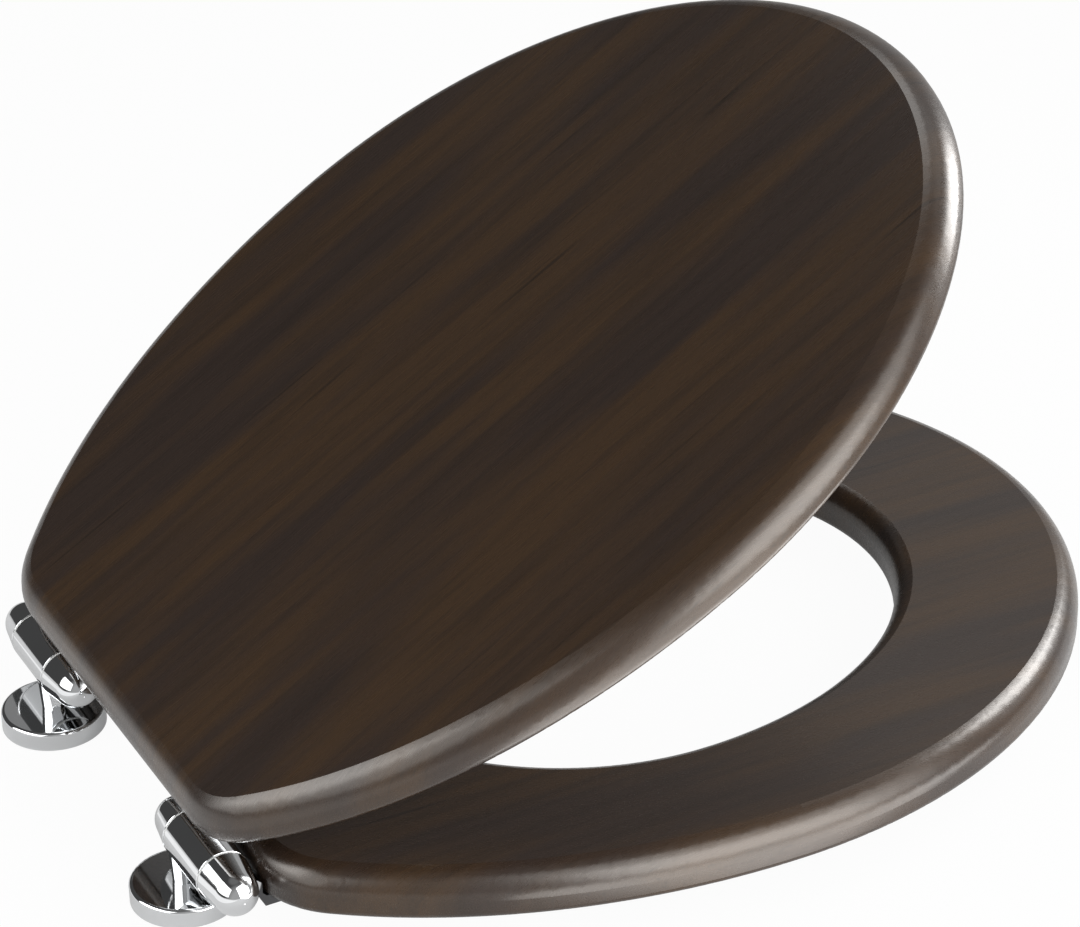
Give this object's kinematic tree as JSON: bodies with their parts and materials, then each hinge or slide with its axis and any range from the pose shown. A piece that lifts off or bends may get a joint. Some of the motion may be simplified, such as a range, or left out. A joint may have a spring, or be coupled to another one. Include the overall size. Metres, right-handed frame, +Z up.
{
  "type": "toilet seat",
  "caption": "Toilet seat with lid: dark wood-effect oval boards with rounded edges, straight at the rear, on chrome barrel hinges with round base discs and soft-close dampers.",
  "frame": {"origin": "midway between the two fixing holes, on the pan's top plane", "axes": "+X to the sitter's left along the hinge line, -Y towards the front of the seat, +Z up"},
  "size_m": [0.386, 0.4668, 0.2708],
  "materials": {
    "dark_wood": "satin",
    "chrome": "polished",
    "steel": "satin",
    "nylon": "matte",
    "rubber": "matte"
  },
  "bodies": {
    "base": {"base_disc_left": "chrome", "base_disc_right": "chrome", "base_pad_left": "rubber", "base_pad_right": "rubber", "post_nut_left": "steel", "post_nut_right": "steel", "hinge_post_left": "chrome", "hinge_post_right": "chrome", "damper_case_left": "nylon", "damper_case_right": "nylon", "hinge_pin_left": "steel", "hinge_pin_right": "steel", "inner_washer_left": "nylon", "inner_washer_right": "nylon", "outer_washer_left": "nylon", "outer_washer_right": "nylon"},
    "seat": {"seat_ring": "dark_wood", "seat_knuckle_left": "chrome", "seat_knuckle_right": "chrome", "damper_shaft_right": "steel", "seat_screws": "steel", "seat_buffer_front_left": "rubber", "seat_buffer_front_right": "rubber", "seat_buffer_rear_left": "rubber", "seat_buffer_rear_right": "rubber"},
    "lid": {"lid_panel": "dark_wood", "lid_knuckle_left": "chrome", "lid_knuckle_right": "chrome", "damper_shaft_left": "steel", "lid_screws": "steel", "lid_buffer_front_left": "rubber", "lid_buffer_front_right": "rubber", "lid_buffer_rear_left": "rubber", "lid_buffer_rear_right": "rubber"}
  },
  "joints": [
    {"name": "seat_hinge", "type": "hinge", "parent": "base", "child": "seat", "pos_m": [0, -0.0055, 0.0261], "axis": [-1, 0, 0], "range_deg": [0, 44]},
    {"name": "lid_hinge", "type": "hinge", "parent": "seat", "child": "lid", "pos_m": [0, -0.0055, 0.0261], "axis": [-1, 0, 0], "range_deg": [-30.5, 63.5]}
  ]
}
